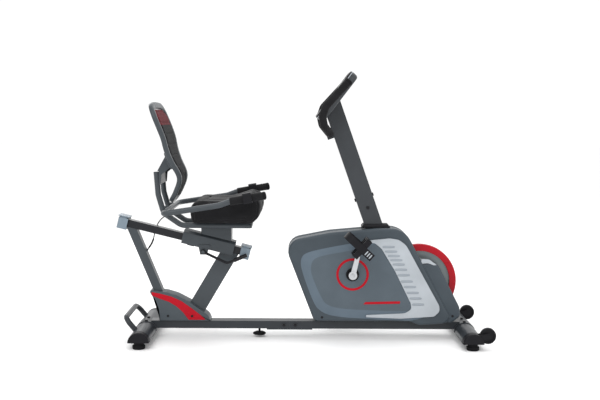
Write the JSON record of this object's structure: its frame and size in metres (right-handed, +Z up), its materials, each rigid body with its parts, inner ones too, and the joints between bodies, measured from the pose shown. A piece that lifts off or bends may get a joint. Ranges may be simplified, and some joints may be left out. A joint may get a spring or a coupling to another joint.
{
  "type": "recumbent exercise bike",
  "caption": "Recumbent exercise bike: a seat with backrest and side handlebars slides on an inclined rail behind a cased belt drive and flywheel, with a console on a leaning mast",
  "frame": {"origin": "on the floor, at the middle of the length and of the width", "axes": "+X forwards towards the flywheel, +Y to the rider's left, +Z up"},
  "size_m": [1.6985, 0.582, 1.2236],
  "materials": {
    "frame_paint": "satin dark grey powder coat",
    "rail_black": "gloss black paint",
    "bracket_grey": "satin light grey paint",
    "casing_plastic": "fine-textured slate grey",
    "silver_plastic": "silver paint",
    "shroud_plastic": "slate grey",
    "black_plastic": "fine-textured black",
    "steel": "turned steel",
    "rim_paint": "gloss red paint",
    "crank_metal": "satin silver",
    "rubber": "moulded black rubber",
    "foam": "closed-cell foam",
    "screen": "dark display window",
    "cushion_cover": "black coated upholstery fabric",
    "mesh": "black spacer mesh",
    "bolt_steel": "black oxide"
  },
  "bodies": {
    "frame": {"rear_frame_beam": "frame_paint", "front_frame_beam": "frame_paint", "stabiliser_tubes": "frame_paint", "beam_joint_sleeve": "frame_paint", "frame_bolts": "bolt_steel", "end_caps": "black_plastic", "rear_carry_handle": "frame_paint", "seat_rail": "rail_black", "rail_brackets": "bracket_grey", "rail_struts": "frame_paint", "rear_shroud_right": "shroud_plastic", "rear_shroud_left": "shroud_plastic", "casing_right_shell": "casing_plastic", "casing_left_shell": "casing_plastic", "trim_bands": "silver_plastic", "mast_collar": "black_plastic", "drive_frame": "frame_paint", "bearings": "steel", "drive_belt": "rubber", "brake_motor": "black_plastic", "mast": "frame_paint", "console_back_shell": "casing_plastic", "console_face": "black_plastic", "console_screen": "screen", "console_handlebar": "frame_paint", "console_grips": "foam"},
    "crank": {"crank_arms": "crank_metal", "crank_shafts": "steel", "crank_hub_plates": "black_plastic", "drive_pulley": "black_plastic"},
    "right_pedal": {"pedal_right": "black_plastic"},
    "left_pedal": {"pedal_left": "black_plastic"},
    "flywheel": {"flywheel_rim": "rim_paint", "flywheel_disc": "steel", "flywheel_axle": "steel"},
    "magnet_brake": {"magnet_bracket": "steel"},
    "carriage": {"carriage_housing": "frame_paint", "carriage_rollers": "black_plastic", "seat_post": "frame_paint", "seat_cushion": "cushion_cover", "back_tubes": "frame_paint", "backrest_frame": "casing_plastic", "backrest_pad": "mesh", "side_handlebar": "frame_paint", "side_grips": "foam", "pulse_sensors": "black_plastic", "sensor_cord": "rubber"},
    "lever": {"adjust_lever": "bolt_steel"},
    "rail_lock": {"lock_shoe": "rubber"},
    "middle_foot": {"middle_foot": "rubber"},
    "rear_foot_right": {"rear_foot_right": "rubber"},
    "rear_foot_left": {"rear_foot_left": "rubber"},
    "front_foot_right": {"front_foot_right": "rubber"},
    "front_foot_left": {"front_foot_left": "rubber"},
    "transport_wheel_right": {"transport_wheel_right": "black_plastic"},
    "transport_wheel_left": {"transport_wheel_left": "black_plastic"},
    "button_start": {"button_start": "rubber"},
    "button_down": {"button_down": "rubber"},
    "button_up": {"button_up": "rubber"},
    "button_enter": {"button_enter": "rubber"}
  },
  "joints": [
    {"name": "crank_spin", "type": "hinge", "parent": "frame", "child": "crank", "pos_m": [0.228, 0, 0.3045], "axis": [0, 1, 0], "continuous": true},
    {"name": "flywheel_spin", "type": "hinge", "parent": "frame", "child": "flywheel", "pos_m": [0.539, 0, 0.265], "axis": [0, 1, 0], "continuous": true},
    {"name": "right_pedal_spin", "type": "hinge", "parent": "crank", "child": "right_pedal", "pos_m": [0.26044, 0, 0.44069], "axis": [0, 1, 0], "continuous": true},
    {"name": "left_pedal_spin", "type": "hinge", "parent": "crank", "child": "left_pedal", "pos_m": [0.19556, 0, 0.16831], "axis": [0, 1, 0], "continuous": true},
    {"name": "magnet_swing", "type": "hinge", "parent": "frame", "child": "magnet_brake", "pos_m": [0.38312, 0, 0.175], "axis": [0, 1, 0], "range_deg": [-7, 0]},
    {"name": "seat_slide", "type": "slide", "parent": "frame", "child": "carriage", "axis": [0.9711, 0, -0.2385], "range_m": [-0.215, 0.015], "deforming": ["sensor_cord"]},
    {"name": "lever_lift", "type": "hinge", "parent": "carriage", "child": "lever", "pos_m": [-0.451, 0, 0.404], "axis": [0, 1, 0], "range_deg": [-12, 0], "stiffness_Nm_per_rad": 0.8, "springref_deg": 8.59},
    {"name": "lock_slide", "type": "slide", "parent": "carriage", "child": "rail_lock", "axis": [0.2385, 0, 0.9711], "range_m": [-0.004, 0]},
    {"name": "middle_foot_screw", "type": "slide", "parent": "frame", "child": "middle_foot", "axis": [0, 0, -1], "range_m": [-0.005, 0.022]},
    {"name": "rear_foot_right_screw", "type": "slide", "parent": "frame", "child": "rear_foot_right", "axis": [0, 0, -1], "range_m": [0, 0.012]},
    {"name": "rear_foot_left_screw", "type": "slide", "parent": "frame", "child": "rear_foot_left", "axis": [0, 0, -1], "range_m": [0, 0.012]},
    {"name": "front_foot_right_screw", "type": "slide", "parent": "frame", "child": "front_foot_right", "axis": [0, 0, -1], "range_m": [0, 0.012]},
    {"name": "front_foot_left_screw", "type": "slide", "parent": "frame", "child": "front_foot_left", "axis": [0, 0, -1], "range_m": [0, 0.012]},
    {"name": "transport_right_spin", "type": "hinge", "parent": "frame", "child": "transport_wheel_right", "pos_m": [0.814, -0.247, 0.065], "axis": [0, 1, 0], "continuous": true},
    {"name": "transport_left_spin", "type": "hinge", "parent": "frame", "child": "transport_wheel_left", "pos_m": [0.814, 0.247, 0.065], "axis": [0, 1, 0], "continuous": true},
    {"name": "button_start_press", "type": "slide", "parent": "frame", "child": "button_start", "axis": [0.7965, 0, -0.6046], "range_m": [0, 0.0012], "stiffness_N_per_m": 400, "springref_m": -0.002},
    {"name": "button_down_press", "type": "slide", "parent": "frame", "child": "button_down", "axis": [0.7965, 0, -0.6046], "range_m": [0, 0.0012], "stiffness_N_per_m": 400, "springref_m": -0.002},
    {"name": "button_up_press", "type": "slide", "parent": "frame", "child": "button_up", "axis": [0.7965, 0, -0.6046], "range_m": [0, 0.0012], "stiffness_N_per_m": 400, "springref_m": -0.002},
    {"name": "button_enter_press", "type": "slide", "parent": "frame", "child": "button_enter", "axis": [0.7965, 0, -0.6046], "range_m": [0, 0.0012], "stiffness_N_per_m": 400, "springref_m": -0.002}
  ],
  "couplings": [
    {"joint": "crank_spin", "follows": "flywheel_spin", "ratio": 0.128},
    {"joint": "lock_slide", "follows": "lever_lift", "m_per_rad": 0.011937}
  ]
}
